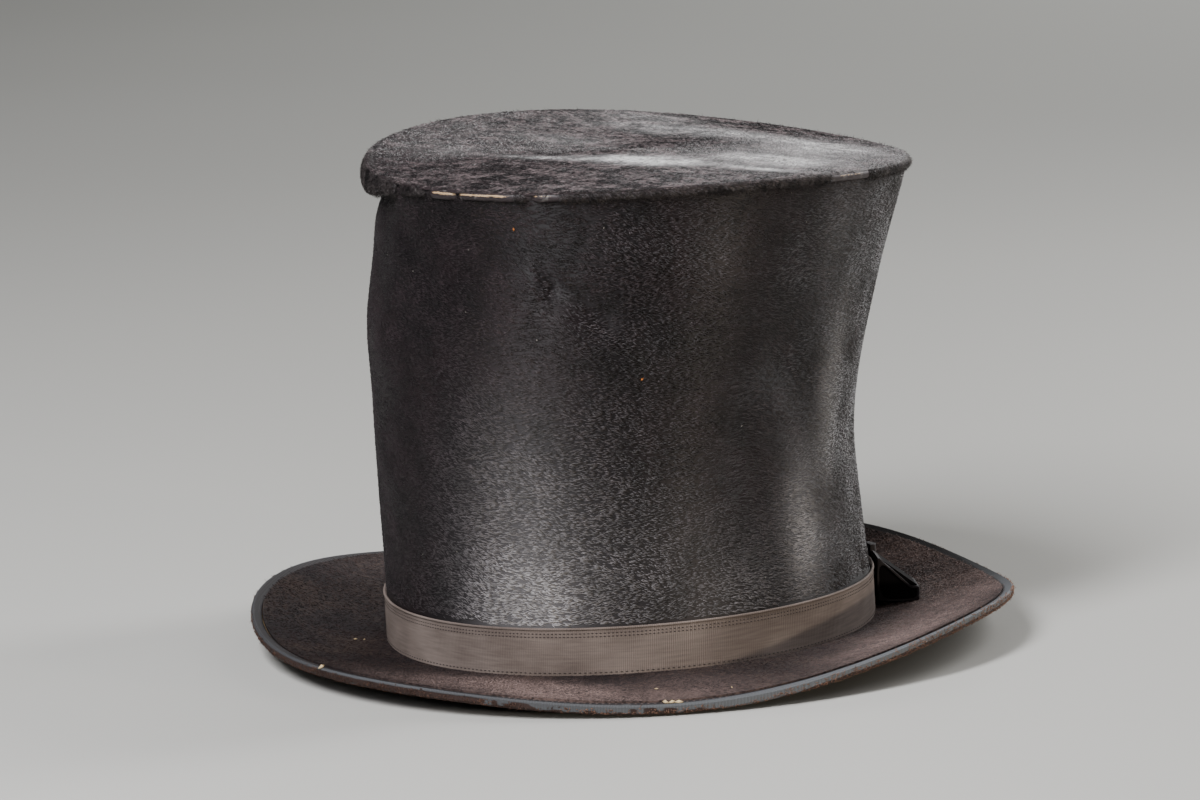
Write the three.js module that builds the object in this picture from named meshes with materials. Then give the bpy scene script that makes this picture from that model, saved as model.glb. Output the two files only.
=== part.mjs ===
// A plush-covered top hat of the mid-nineteenth century, built up the way a hatter builds it:
// stiff gossamer shells for the crown wall, the tip and the brim, a plush cover over each, a ribbon
// round the foot of the crown with a bow at the wearer's left, a bound brim edge, and a leather
// sweatband and silk linings inside.
// Millimetres. +Z is up, -Y is the front, +X is the wearer's left. The hat stands on the flat ring
// under its brim, round the head opening, with the middle of its outline over the origin.
import * as THREE from "three";

// ---------------------------------------------------------------- overall sizes
const CROWN_HEIGHT = 166.2; // from the brim up to the edge of the tip
const FOOT_HALF_WIDTH = 81.4; // outside of the crown's plush where it meets the brim, ear to ear
const FOOT_HALF_LENGTH = 101.4; // the same, from brow to nape
const BRIM_HALF_WIDTH = 134.5; // edge of the bound brim, ear to ear
const BRIM_HALF_LENGTH = 148.0; // the same, front to back
const BRIM_QUARTER_TRIM = 0.027; // share by which the brim runs inside an ellipse at its quarters

// ---------------------------------------------------------------- the crown's form
// The wall bows in a little above the band and flares to a bell at the tip. Years of wear have also
// bent it: each level has slid to the wearer's left and to the back by its own amount.
// up: share of the crown's height. side, end: how far the wall stands out from its foot.
const CROWN_FORM = [
  { up: 0.0, side: 0.0, end: 0.0, left: 0.0, back: 0.0 },
  { up: 0.1, side: 0.0, end: 0.0, left: -0.6, back: -0.3 },
  { up: 0.23, side: -0.6, end: -1.0, left: -2.5, back: -1.2 },
  { up: 0.375, side: -1.5, end: -2.4, left: -4.6, back: -2.2 },
  { up: 0.48, side: -0.4, end: -1.6, left: -4.6, back: -2.2 },
  { up: 0.625, side: 2.2, end: -0.2, left: -3.1, back: -1.6 },
  { up: 0.77, side: 3.9, end: 0.8, left: 0.1, back: 0.2 },
  { up: 0.9, side: 6.4, end: 2.4, left: 3.1, back: 3.3 },
  { up: 0.97, side: 9.4, end: 4.4, left: 3.0, back: 3.5 },
  { up: 1.0, side: 10.2, end: 4.8, left: 3.0, back: 3.6 },
];
const TIP_DOME = 1.2; // height of the tip's flat middle over the mean of its edge
const TIP_FLAT = 0.42; // share of the tip, out from its middle, that is flat

// ---------------------------------------------------------------- warps
// The rims of an old hat rise and dip. Each wave goes round the hat a whole number of times, and is
// given by its height on the wearer's left and by the height of its other half, a quarter turn on.
const FOOT_WAVES = [{ times: 2, onAxis: 0, offAxis: -0.8 }];
const TIP_WAVES = [
  { times: 1, onAxis: -3.1, offAxis: 0 },
  { times: 2, onAxis: 1.5, offAxis: -2.4 },
];
const BRIM_WAVES = [
  { times: 1, onAxis: 0.4, offAxis: 3.1 },
  { times: 2, onAxis: 2.2, offAxis: 2.1 },
  { times: 3, onAxis: 1.0, offAxis: -1.2 },
  { times: 4, onAxis: 3.1, offAxis: 0 },
];
const BRIM_LIFT = 7.7; // mean height of the brim's edge over its foot
const BRIM_LIFT_START = 4.0; // the brim is flat this far out from the crown
const BRIM_CURL = 1.6; // power of the rise towards the edge: 1 is a straight slope

// ---------------------------------------------------------------- wall thicknesses and fits
const GAP = 0.3; // between pieces that touch
const PLUSH = 1.0; // silk plush on its cotton ground, crown and tip
const CROWN_SHELL = 1.8; // layers of shellacked gossamer
const TIP_SHELL = 1.8;
const COLLAR = 1.2; // strip that joins the brim to the crown, inside
const COLLAR_HEIGHT = 14.0; // over the foot of the crown
const SWEATBAND = 0.9; // leather
const SWEATBAND_HEIGHT = 42.0; // over the foot of the crown
const LINING = 0.5; // silk on paper
const LINING_START = 16.0; // over the foot, behind the sweatband
const TIP_OVERHANG = 0.8; // the tip's plush stands out this far past the wall's

const BRIM_FOOT_STACK = 4.6; // whole thickness of the brim at the crown
const BRIM_EDGE_STACK = 3.6; // and where the binding takes hold
const BRIM_PLUSH = 0.9; // short felt-like plush on top
const BRIM_CLOTH = 0.7; // cloth underneath

const BAND_HEIGHT = 16.5; // grosgrain ribbon round the crown
const BAND = 0.8;
const BINDING_WIDTH = 3.6; // ribbon folded over the brim's edge, as it shows on each face
const BINDING = 0.6;

// ---------------------------------------------------------------- bows
const BOW_ANGLE = 44.5; // round the oval from the wearer's left towards the back, degrees
const KNOT_WIDTH = 7.0; // along the band
const KNOT_THICKNESS = 3.2; // out from the band
const KNOT_HEIGHT = 17.8; // a little over the loops' roots
const LOOP_WIDTH = 16.5; // width of the ribbon, which lies along the band
const LOOP_RIBBON = 0.8;
const LOOP_REACH = 15.3; // how far the loops stand out over the brim
const LOOP_RISE = 16.8; // height of a loop's root over the brim
const LOOP_END_HEIGHT = 5.4; // of its squared outer end
const LOOP_END_FLAT = 3.0; // length of the level stretch at that end
const INNER_BOW_LENGTH = 26.0; // small ribbon bow on the sweatband's seam, at the back
const INNER_BOW_HEIGHT = 10.0;
const INNER_BOW_WAIST = 4.0; // its height at the knot
const INNER_BOW = 0.9; // its thickness
const INNER_BOW_LEVEL = 22.0; // height of its middle over the foot of the crown

// ---------------------------------------------------------------- materials
const COLOURS = {
  crownPlush: { color: 0x1b181b, roughness: 0.55 },
  brimPlush: { color: 0x37292a, roughness: 0.85 },
  gossamer: { color: 0xa08a66, roughness: 0.8 },
  brimCloth: { color: 0x241c1d, roughness: 0.9 },
  ribbon: { color: 0x5d524d, roughness: 0.75 },
  bowRibbon: { color: 0x2a2628, roughness: 0.7 },
  bindingRibbon: { color: 0x5a5f66, roughness: 0.7 },
  leather: { color: 0x6b4a30, roughness: 0.6 },
  lining: { color: 0xcdbf9f, roughness: 0.5 },
};

// ---------------------------------------------------------------- the form, as formulas
const AROUND = 48; // facets round each ring
const BLOCK = 100; // radius of the round block that sections are turned on before they are fitted

const mix = (a, b, share) => a + (b - a) * share;
const clamp01 = (value) => Math.min(1, Math.max(0, value));
const ease = (share) => share * share * (3 - 2 * share);

function waveHeight(waves, angle) {
  return waves.reduce(
    (height, wave) =>
      height +
      wave.onAxis * Math.cos(wave.times * angle) +
      wave.offAxis * Math.sin(wave.times * angle),
    0,
  );
}

// The crown's form at a height over its foot: its half-axes and how far its middle has slid.
function crownLevel(height) {
  const up = clamp01(height / CROWN_HEIGHT);
  const above = Math.max(1, CROWN_FORM.findIndex((level) => level.up >= up));
  const low = CROWN_FORM[above - 1];
  const high = CROWN_FORM[above];
  const share = (up - low.up) / (high.up - low.up);
  return {
    halfWidth: FOOT_HALF_WIDTH + mix(low.side, high.side, share),
    halfLength: FOOT_HALF_LENGTH + mix(low.end, high.end, share),
    left: mix(low.left, high.left, share),
    back: mix(low.back, high.back, share),
  };
}

// What lies in the upper half of the brim follows its warped top, the rest its flat under face.
const followsTop = (height) => height > -BRIM_FOOT_STACK / 2;

// Height over the ground of a level of the crown, which takes up the warps of foot and tip.
function crownGround(angle, height) {
  const up = clamp01(height / CROWN_HEIGHT);
  const foot = followsTop(height) ? waveHeight(FOOT_WAVES, angle) : 0;
  const tip = waveHeight(TIP_WAVES, angle);
  return BRIM_FOOT_STACK + height + mix(foot, tip, up);
}

// A point of the crown's wall, a given offset outside the plush's surface.
function crownPoint(angle, offset, height) {
  const level = crownLevel(height);
  return new THREE.Vector3(
    level.left + (level.halfWidth + offset) * Math.cos(angle),
    level.back + (level.halfLength + offset) * Math.sin(angle),
    crownGround(angle, height),
  );
}

// A point of the tip: a share of the way out to its edge, and a drop below its surface.
function tipPoint(angle, share, edgeOffset, drop) {
  const edge = crownPoint(angle, edgeOffset, CROWN_HEIGHT + drop);
  const level = crownLevel(CROWN_HEIGHT + drop);
  const middle = BRIM_FOOT_STACK + CROWN_HEIGHT + TIP_DOME + drop;
  const outward = ease(clamp01((share - TIP_FLAT) / (1 - TIP_FLAT)));
  return new THREE.Vector3(
    mix(level.left, edge.x, share),
    mix(level.back, edge.y, share),
    mix(middle, edge.z, outward),
  );
}

// The brim between the crown's foot (0 across) and its edge (BRIM_RUN across).
const BRIM_RUN =
  (BRIM_HALF_WIDTH - FOOT_HALF_WIDTH + BRIM_HALF_LENGTH - FOOT_HALF_LENGTH) / 2;

function brimPoint(angle, across, height) {
  const foot = new THREE.Vector2(
    FOOT_HALF_WIDTH * Math.cos(angle),
    FOOT_HALF_LENGTH * Math.sin(angle),
  );
  const trim = 1 - BRIM_QUARTER_TRIM * Math.sin(2 * angle) ** 2;
  const edge = new THREE.Vector2(
    BRIM_HALF_WIDTH * trim * Math.cos(angle),
    BRIM_HALF_LENGTH * trim * Math.sin(angle),
  );
  const width = edge.distanceTo(foot);
  const reach = across + (width - BRIM_RUN) * ease(clamp01(across / BRIM_RUN));
  const outward = edge.sub(foot).normalize().multiplyScalar(reach);
  const rise =
    clamp01((across - BRIM_LIFT_START) / (BRIM_RUN - BRIM_LIFT_START)) ** BRIM_CURL;
  const edgeTop = BRIM_FOOT_STACK + BRIM_LIFT + waveHeight(BRIM_WAVES, angle);
  const footTop = BRIM_FOOT_STACK + waveHeight(FOOT_WAVES, angle);
  const top = mix(footTop, edgeTop, rise) + height;
  const under = (edgeTop - BRIM_EDGE_STACK) * rise + BRIM_FOOT_STACK + height;
  return new THREE.Vector3(
    foot.x + outward.x,
    foot.y + outward.y,
    followsTop(height) ? top : under,
  );
}

// ---------------------------------------------------------------- turning and fitting
// Splits each facet of a turned section along the diagonal that climbs the same way on both faces
// of a layer, so that neighbouring layers bend alike and keep their gap where the hat is warped.
function matchDiagonals(geometry, section) {
  const index = [];
  for (let turn = 0; turn < AROUND; turn++) {
    for (let i = 0; i < section.length - 1; i++) {
      const here = turn * section.length + i;
      const next = here + 1;
      const beside = here + section.length;
      const beyond = beside + 1;
      const climb =
        section[i + 1][0] + section[i + 1][1] - section[i][0] - section[i][1];
      if (climb > 0) index.push(here, beside, next, beyond, next, beside);
      else index.push(here, beside, beyond, here, beyond, next);
    }
  }
  geometry.setIndex(index);
}

// Turns a closed section round the block, then moves each point to its place on the hat.
function turned(section, place) {
  const profile = section.map(([across, height]) => new THREE.Vector2(across, height));
  const geometry = new THREE.LatheGeometry(profile, AROUND).rotateX(Math.PI / 2);
  matchDiagonals(geometry, section);
  const position = geometry.getAttribute("position");
  for (let i = 0; i < position.count; i++) {
    const x = position.getX(i);
    const y = position.getY(i);
    const point = place(Math.atan2(y, x), Math.hypot(x, y), position.getZ(i));
    position.setXYZ(i, point.x, point.y, point.z);
  }
  geometry.computeVertexNormals();
  return geometry;
}

// A wall of the crown between two offsets and two heights, with a point at each level of the form.
function crownWall(outer, inner, low, high) {
  const levels = CROWN_FORM.map((level) => level.up * CROWN_HEIGHT).filter(
    (height) => height > low + 1 && height < high - 1,
  );
  const heights = [low, ...levels, high];
  const section = [
    ...heights.map((height) => [BLOCK + outer, height]),
    ...heights.reverse().map((height) => [BLOCK + inner, height]),
    [BLOCK + outer, low],
  ];
  return turned(section, (angle, radius, height) =>
    crownPoint(angle, radius - BLOCK, height),
  );
}

// A disc across the tip, between two drops below the tip's surface.
function tipDisc(edgeOffset, top, bottom, softness = 0) {
  const shares = [0, TIP_FLAT, 0.75, 0.93];
  const section = [
    ...shares.map((share) => [share * BLOCK, bottom]),
    [BLOCK, bottom],
    [BLOCK, top - softness],
    [BLOCK * (1 - softness / FOOT_HALF_WIDTH), top],
    ...shares.reverse().map((share) => [share * BLOCK, top]),
  ];
  const distinct = section.filter(
    (point, i) => i === 0 || point.some((value, k) => value !== section[i - 1][k]),
  );
  return turned(distinct, (angle, radius, drop) =>
    tipPoint(angle, radius / BLOCK, edgeOffset, drop),
  );
}

// A ring of the brim, from its section across the brim.
function brimRing(section) {
  const closed = [...section, section[0]].map(([across, height]) => [
    BLOCK + across,
    height,
  ]);
  return turned(closed, (angle, radius, height) =>
    brimPoint(angle, radius - BLOCK, height),
  );
}

// The section of a layer of the brim. Every layer bends at the same stations across the brim, so
// that neighbours stay parallel where the brim curls.
function brimLayer(inner, outer, bottom, top) {
  const between = BRIM_STATIONS.filter((at) => at > inner + 1 && at < outer - 0.5);
  const across = [inner, ...between, outer];
  return [
    ...across.map((at) => [at, bottom]),
    ...across.reverse().map((at) => [at, top]),
  ];
}

// ---------------------------------------------------------------- offsets out from the plush
const SHELL_OUT = -PLUSH - GAP;
const SHELL_IN = SHELL_OUT - CROWN_SHELL;
const INSIDE = SHELL_IN - GAP; // face of whatever lies against the shell's inside
const COLLAR_IN = INSIDE - COLLAR;
const SWEATBAND_OUT = COLLAR_IN - GAP;
const BAND_OUT = GAP + BAND;

const TIP_SHELL_TOP = -PLUSH - GAP;
const TIP_SHELL_BOTTOM = TIP_SHELL_TOP - TIP_SHELL;
const TIP_LINING_TOP = TIP_SHELL_BOTTOM - GAP;

const BRIM_SHELL_TOP = -BRIM_PLUSH - GAP;
const BRIM_CLOTH_TOP = -BRIM_FOOT_STACK + BRIM_CLOTH;
const BRIM_SHELL_BOTTOM = BRIM_CLOTH_TOP + GAP;
const BINDING_START = BRIM_RUN - BINDING_WIDTH;
const BINDING_MIDDLE = BRIM_RUN - BINDING_WIDTH / 2;
const SHELL_EDGE = BRIM_RUN - BINDING - GAP;
const BRIM_STATIONS = [
  BRIM_LIFT_START,
  mix(BRIM_LIFT_START, BINDING_START, 1 / 3),
  mix(BRIM_LIFT_START, BINDING_START, 2 / 3),
  BINDING_START,
  BINDING_MIDDLE,
];

// ---------------------------------------------------------------- pieces
function bindingSection() {
  const top = BRIM_SHELL_TOP + GAP + BINDING;
  const topInside = BRIM_SHELL_TOP + GAP;
  const bottomInside = BRIM_SHELL_BOTTOM - GAP;
  const bottom = bottomInside - BINDING;
  const inside = BRIM_RUN - BINDING;
  return [
    [BINDING_START, topInside],
    [BINDING_MIDDLE, topInside],
    [inside, topInside],
    [inside, bottomInside],
    [BINDING_MIDDLE, bottomInside],
    [BINDING_START, bottomInside],
    [BINDING_START, bottom],
    [BINDING_MIDDLE, bottom],
    [inside, bottom],
    [BRIM_RUN, bottomInside],
    [BRIM_RUN, topInside],
    [inside, top],
    [BINDING_MIDDLE, top],
    [BINDING_START, top],
  ];
}

// The bow's pieces are drawn in a frame at the band: x out from it, y along it towards the back, z up.
function bowLoop() {
  const sloped = (inset) => [
    [inset, inset],
    [LOOP_REACH - inset, inset],
    [LOOP_REACH - inset, LOOP_END_HEIGHT - inset],
    [LOOP_REACH - LOOP_END_FLAT - inset / 2, LOOP_END_HEIGHT - inset * 0.9],
    [inset, LOOP_RISE - inset * 2.2],
  ];
  const outline = new THREE.Shape(sloped(0).map(([x, z]) => new THREE.Vector2(x, z)));
  const hollow = sloped(LOOP_RIBBON).map(([x, z]) => new THREE.Vector2(x, z));
  outline.holes.push(new THREE.Path(hollow));
  return new THREE.ExtrudeGeometry(outline, { depth: LOOP_WIDTH, bevelEnabled: false })
    .rotateX(Math.PI / 2)
    .translate(0, LOOP_WIDTH / 2, 0);
}

function bowKnot() {
  const section = new THREE.Shape();
  section.moveTo(0, -KNOT_WIDTH / 2);
  section.lineTo(KNOT_THICKNESS * 0.6, -KNOT_WIDTH / 2);
  section.quadraticCurveTo(KNOT_THICKNESS * 1.4, 0, KNOT_THICKNESS * 0.6, KNOT_WIDTH / 2);
  section.lineTo(0, KNOT_WIDTH / 2);
  section.closePath();
  return new THREE.ExtrudeGeometry(section, {
    depth: KNOT_HEIGHT,
    bevelEnabled: false,
    curveSegments: 6,
  });
}

// A point's turn round the oval foot after walking a distance along it from the bow.
function turnAlongFoot(distance) {
  const turn = THREE.MathUtils.degToRad(BOW_ANGLE);
  const step = Math.hypot(
    FOOT_HALF_WIDTH * Math.sin(turn),
    FOOT_HALF_LENGTH * Math.cos(turn),
  );
  return turn + distance / step;
}

// The highest spot of the brim's plush under a loop that faces out from the band at a place.
function plushUnder(brimPlush, place, facing) {
  const down = new THREE.Vector3(0, 0, -1);
  const steps = [0, 0.25, 0.5, 0.75, 1];
  const heights = steps.flatMap((outShare) =>
    steps.map((alongShare) => {
      const spot = new THREE.Vector3(
        outShare * LOOP_REACH,
        (alongShare - 0.5) * LOOP_WIDTH,
        CROWN_HEIGHT,
      );
      spot.applyAxisAngle(new THREE.Vector3(0, 0, 1), facing).add(place);
      const hits = new THREE.Raycaster(spot, down).intersectObject(brimPlush);
      return hits[0].point.z;
    }),
  );
  return Math.max(...heights);
}

// Stands a bow piece on the brim against the band, facing straight out from it.
function atBand(mesh, brimPlush, distance) {
  const angle = turnAlongFoot(distance);
  const foot = crownPoint(angle, BAND_OUT + GAP, 0);
  const facing = Math.atan2(
    Math.sin(angle) / FOOT_HALF_LENGTH,
    Math.cos(angle) / FOOT_HALF_WIDTH,
  );
  mesh.position.set(foot.x, foot.y, plushUnder(brimPlush, foot, facing) + GAP);
  mesh.rotation.z = facing;
  return mesh;
}

// The flat bow sewn over the sweatband's seam, its ends just clear of the leather's curve.
function innerBow() {
  const half = INNER_BOW_LENGTH / 2;
  const outline = new THREE.Shape();
  outline.moveTo(0, -INNER_BOW_WAIST / 2);
  outline.lineTo(half, -INNER_BOW_HEIGHT / 2);
  outline.lineTo(half, INNER_BOW_HEIGHT / 2);
  outline.lineTo(0, INNER_BOW_WAIST / 2);
  outline.lineTo(-half, INNER_BOW_HEIGHT / 2);
  outline.lineTo(-half, -INNER_BOW_HEIGHT / 2);
  outline.closePath();
  const leather = SWEATBAND_OUT - SWEATBAND;
  const level = crownLevel(INNER_BOW_LEVEL);
  const end = Math.asin(half / (level.halfWidth + leather));
  const face = level.back + (level.halfLength + leather) * Math.cos(end) - 4 * GAP;
  return new THREE.ExtrudeGeometry(outline, { depth: INNER_BOW, bevelEnabled: false })
    .rotateX(Math.PI / 2)
    .translate(level.left, face, BRIM_FOOT_STACK + INNER_BOW_LEVEL);
}

const pieces = {
  // Stiff shells.
  crown_shell: [
    COLOURS.gossamer,
    crownWall(
      SHELL_OUT,
      SHELL_IN,
      BRIM_SHELL_TOP + GAP,
      CROWN_HEIGHT + TIP_SHELL_BOTTOM - GAP,
    ),
  ],
  tip_shell: [COLOURS.gossamer, tipDisc(SHELL_OUT, TIP_SHELL_TOP, TIP_SHELL_BOTTOM)],
  brim_shell: [
    COLOURS.gossamer,
    brimRing(brimLayer(INSIDE + GAP, SHELL_EDGE, BRIM_SHELL_BOTTOM, BRIM_SHELL_TOP)),
  ],
  brim_collar: [
    COLOURS.gossamer,
    crownWall(INSIDE, COLLAR_IN, BRIM_CLOTH_TOP + GAP, COLLAR_HEIGHT),
  ],
  // Covers.
  crown_plush: [
    COLOURS.crownPlush,
    crownWall(0, -PLUSH, GAP, CROWN_HEIGHT - PLUSH - GAP),
  ],
  tip_plush: [COLOURS.crownPlush, tipDisc(TIP_OVERHANG, 0, -PLUSH, 0.6)],
  brim_top_plush: [
    COLOURS.brimPlush,
    brimRing(brimLayer(SHELL_OUT + GAP, BINDING_START - GAP, -BRIM_PLUSH, 0)),
  ],
  brim_under_cloth: [
    COLOURS.brimCloth,
    brimRing(
      brimLayer(COLLAR_IN, BINDING_START - GAP, -BRIM_FOOT_STACK, BRIM_CLOTH_TOP),
    ),
  ],
  brim_binding: [COLOURS.bindingRibbon, brimRing(bindingSection())],
  // Trimming.
  hat_band: [COLOURS.ribbon, crownWall(BAND_OUT, GAP, GAP, BAND_HEIGHT)],
  // Inside.
  sweatband: [
    COLOURS.leather,
    crownWall(
      SWEATBAND_OUT,
      SWEATBAND_OUT - SWEATBAND,
      -BRIM_FOOT_STACK + BRIM_CLOTH + GAP,
      SWEATBAND_HEIGHT,
    ),
  ],
  side_lining: [
    COLOURS.lining,
    crownWall(
      INSIDE,
      INSIDE - LINING,
      LINING_START,
      CROWN_HEIGHT + TIP_LINING_TOP - LINING - GAP,
    ),
  ],
  tip_lining: [
    COLOURS.lining,
    tipDisc(INSIDE, TIP_LINING_TOP, TIP_LINING_TOP - LINING),
  ],
  sweatband_bow: [COLOURS.bowRibbon, innerBow()],
};

function pieceMesh(name, look, geometry) {
  const material = new THREE.MeshStandardMaterial({ ...look, metalness: 0 });
  const mesh = new THREE.Mesh(geometry, material);
  mesh.name = name;
  return mesh;
}

const hat = new THREE.Group();
for (const [name, [look, geometry]] of Object.entries(pieces)) {
  hat.add(pieceMesh(name, look, geometry));
}

const loopStep = KNOT_WIDTH / 2 + GAP + LOOP_WIDTH / 2;
const bowPieces = [
  ["bow_front_loop", bowLoop(), -loopStep],
  ["bow_knot", bowKnot(), 0],
  ["bow_rear_loop", bowLoop(), loopStep],
];
const brimPlush = hat.getObjectByName("brim_top_plush");
for (const [name, geometry, distance] of bowPieces) {
  const mesh = pieceMesh(name, COLOURS.bowRibbon, geometry);
  hat.add(atBand(mesh, brimPlush, distance));
}

export default hat;
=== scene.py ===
# %% [markdown]
# # A worn plush top hat
# A silk hat is built like a small drum. Stiff shells of shellacked muslin, called gossamer, give
# the crown, the tip and the brim their form, and silk plush, a short napped cloth, covers them.
# The CAD model holds those shells and covers as plain solids. This script keeps their places and
# sizes, and gives each one the surface that the real thing has: nap, dents, stitches, ribs, wear
# and dust. Where the nap is paler on the crown, the tip and the brim, that is mostly painted
# light.

import math

import bpy
import numpy as np
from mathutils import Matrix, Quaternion, Vector, noise


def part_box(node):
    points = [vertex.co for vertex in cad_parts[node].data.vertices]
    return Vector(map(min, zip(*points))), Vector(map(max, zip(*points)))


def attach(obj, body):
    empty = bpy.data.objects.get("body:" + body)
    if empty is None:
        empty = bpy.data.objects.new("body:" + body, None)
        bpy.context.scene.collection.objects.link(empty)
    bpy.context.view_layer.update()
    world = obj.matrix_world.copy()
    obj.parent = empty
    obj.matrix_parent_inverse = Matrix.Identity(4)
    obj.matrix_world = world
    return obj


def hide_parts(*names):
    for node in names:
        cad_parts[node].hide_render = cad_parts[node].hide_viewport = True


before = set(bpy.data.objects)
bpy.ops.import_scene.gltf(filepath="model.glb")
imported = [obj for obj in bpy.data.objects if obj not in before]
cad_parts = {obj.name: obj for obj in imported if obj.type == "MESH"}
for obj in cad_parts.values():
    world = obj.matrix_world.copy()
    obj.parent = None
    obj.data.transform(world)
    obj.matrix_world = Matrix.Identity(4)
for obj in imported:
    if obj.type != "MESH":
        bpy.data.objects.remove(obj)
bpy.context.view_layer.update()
MM = 0.001

# %% [markdown]
# ## Camera
# The hat is seen a little from the wearer's left and from just above the brim, through a long
# lens. A long lens far away keeps the tip's oval flat and the two sides of the crown nearly
# parallel. The camera's own directions are worked out from its turn and rise, so that it can be
# aimed in words: so far to its right, so far up.

# %% Place the camera
CAMERA_TURN = math.radians(26.0)
CAMERA_RISE = math.radians(8.95)
CAMERA_ROLL = math.radians(-0.964)
CAMERA_DISTANCE = 2.005
LENS_MM = 171.14
AIM_HEIGHT = 0.0946
AIM_LEFT = 10.4 * MM
AIM_DOWN = 11.1 * MM

back = Vector(
    (
        math.sin(CAMERA_TURN) * math.cos(CAMERA_RISE),
        -math.cos(CAMERA_TURN) * math.cos(CAMERA_RISE),
        math.sin(CAMERA_RISE),
    )
)
right = Vector((math.cos(CAMERA_TURN), math.sin(CAMERA_TURN), 0))
upward = back.cross(right)
middle = Vector((0, 0, AIM_HEIGHT))
bpy.ops.object.camera_add(location=middle + back * CAMERA_DISTANCE)
camera = bpy.context.object
aim = middle - right * AIM_LEFT - upward * AIM_DOWN
camera.rotation_mode = "QUATERNION"
level = (aim - camera.location).to_track_quat("-Z", "Y")
camera.rotation_quaternion = level @ Quaternion((0, 0, 1), CAMERA_ROLL)
camera.data.lens = LENS_MM
camera.data.sensor_width = 36
bpy.context.scene.camera = camera
print("camera at", [round(value, 3) for value in camera.location])

# %% [markdown]
# ## Helpers for the bench
# An operator works on whatever is selected, so each step starts by selecting one piece and
# nothing else. A modifier is added, set and applied in one go. Shapes are bent by moving rows of
# points, with a soft step, a soft bump and a smooth noise to say how far.

# %% Select, apply, move
def only(piece):
    """Selects one object and makes it active."""
    bpy.ops.object.select_all(action="DESELECT")
    piece.select_set(True)
    bpy.context.view_layer.objects.active = piece


def finish_with(piece, kind, **settings):
    """Adds a modifier with its settings and applies it."""
    only(piece)
    modifier = piece.modifiers.new(kind.lower(), kind)
    for name, value in settings.items():
        setattr(modifier, name, value)
    bpy.ops.object.modifier_apply(modifier=modifier.name)


def points_of(piece):
    """The piece's vertices as rows of x, y, z."""
    flat = np.empty(len(piece.data.vertices) * 3, np.float32)
    piece.data.vertices.foreach_get("co", flat)
    return flat.reshape(-1, 3).astype(float)


def move_points(piece, points):
    """Puts the piece's vertices at new places."""
    piece.data.vertices.foreach_set("co", points.astype(np.float32).ravel())
    piece.data.update()


def unit(rows):
    """Rows of x, y, z made one long."""
    return rows / np.linalg.norm(rows, axis=1)[:, None]


def strip_maps(mesh):
    """Removes the UV maps that a mesh came with."""
    while mesh.uv_layers:
        mesh.uv_layers.remove(mesh.uv_layers[0])


def ease(share):
    """A soft step from 0 to 1."""
    share = np.clip(share, 0, 1)
    return share * share * (3 - 2 * share)


def bump(values, centre, spread):
    """A soft bump, 1 at its centre."""
    return np.exp(-(((values - centre) / spread) ** 2))


def uneven(points, size):
    """Smooth noise at each point, from about -1 to 1."""
    return np.array([noise.noise(Vector(point) / size) for point in points])


# %% [markdown]
# ## From a plain CAD solid to a smooth cover
# Each CAD cover is a ring of 48 flat facets, cut into loose triangles. A copy of it is welded,
# its triangles are joined back into four-sided faces, its sharp edges are creased so that they
# stay, and a subdivision surface rounds the facets. The copy keeps the place and the thickness of
# the solid.

# %% Refine a copy of a CAD node
SHARP = math.radians(40)
FLAT_ENOUGH = math.radians(60)  # two triangles that differ by less become one four-sided face
WELD = 0.02 * MM


def refined(node, name, levels, crease=1.0):
    """A smooth, dense copy of a CAD node, as a new piece."""
    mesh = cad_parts[node].data.copy()
    mesh.materials.clear()
    strip_maps(mesh)
    piece = bpy.data.objects.new(name, mesh)
    bpy.context.scene.collection.objects.link(piece)
    mesh.name = name
    only(piece)
    bpy.ops.object.mode_set(mode="EDIT")
    bpy.ops.mesh.customdata_custom_splitnormals_clear()
    bpy.ops.mesh.select_mode(type="EDGE")
    bpy.ops.mesh.select_all(action="SELECT")
    bpy.ops.mesh.remove_doubles(threshold=WELD)
    bpy.ops.mesh.tris_convert_to_quads(face_threshold=FLAT_ENOUGH, shape_threshold=FLAT_ENOUGH)
    bpy.ops.mesh.select_all(action="DESELECT")
    bpy.ops.mesh.edges_select_sharp(sharpness=SHARP)
    bpy.ops.transform.edge_crease(value=crease)
    bpy.ops.mesh.select_all(action="DESELECT")
    bpy.ops.object.mode_set(mode="OBJECT")
    finish_with(piece, "SUBSURF", levels=levels, render_levels=levels)
    bpy.ops.object.shade_smooth_by_angle(angle=SHARP)
    return piece


# %% [markdown]
# ## Patterns that follow the cloth
# Ribs, nap and weave run round the hat, so every cover gets a UV map in real metres: u is the way
# round the foot of the crown, starting at the back, and v is the way up or out. A rib that is 1
# mm wide on the ribbon is then 0.001 wide in the material.

# %% Lay a pattern map round a piece
foot_low, foot_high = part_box("hat_band")
FOOT_X = (foot_high.x - foot_low.x) / 2
FOOT_Y = (foot_high.y - foot_low.y) / 2
TURNS = np.linspace(0, 2 * math.pi, 721)
STEPS = np.hypot(FOOT_X * np.sin(TURNS), FOOT_Y * np.cos(TURNS))
RUN = np.concatenate([[0], np.cumsum((STEPS[1:] + STEPS[:-1]) / 2 * np.diff(TURNS))])
ROUND = RUN[-1]
BACK_SEAM = math.pi / 2


def turn_of(points):
    """Each point's turn round the oval crown: 0 at the wearer's left, a quarter at the back."""
    return np.arctan2(points[:, 1] / FOOT_Y, points[:, 0] / FOOT_X)


def run_of(points):
    """Each point's way round the foot of the crown, in metres from the back seam."""
    return np.interp((turn_of(points) - BACK_SEAM) % (2 * math.pi), TURNS, RUN)


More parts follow.
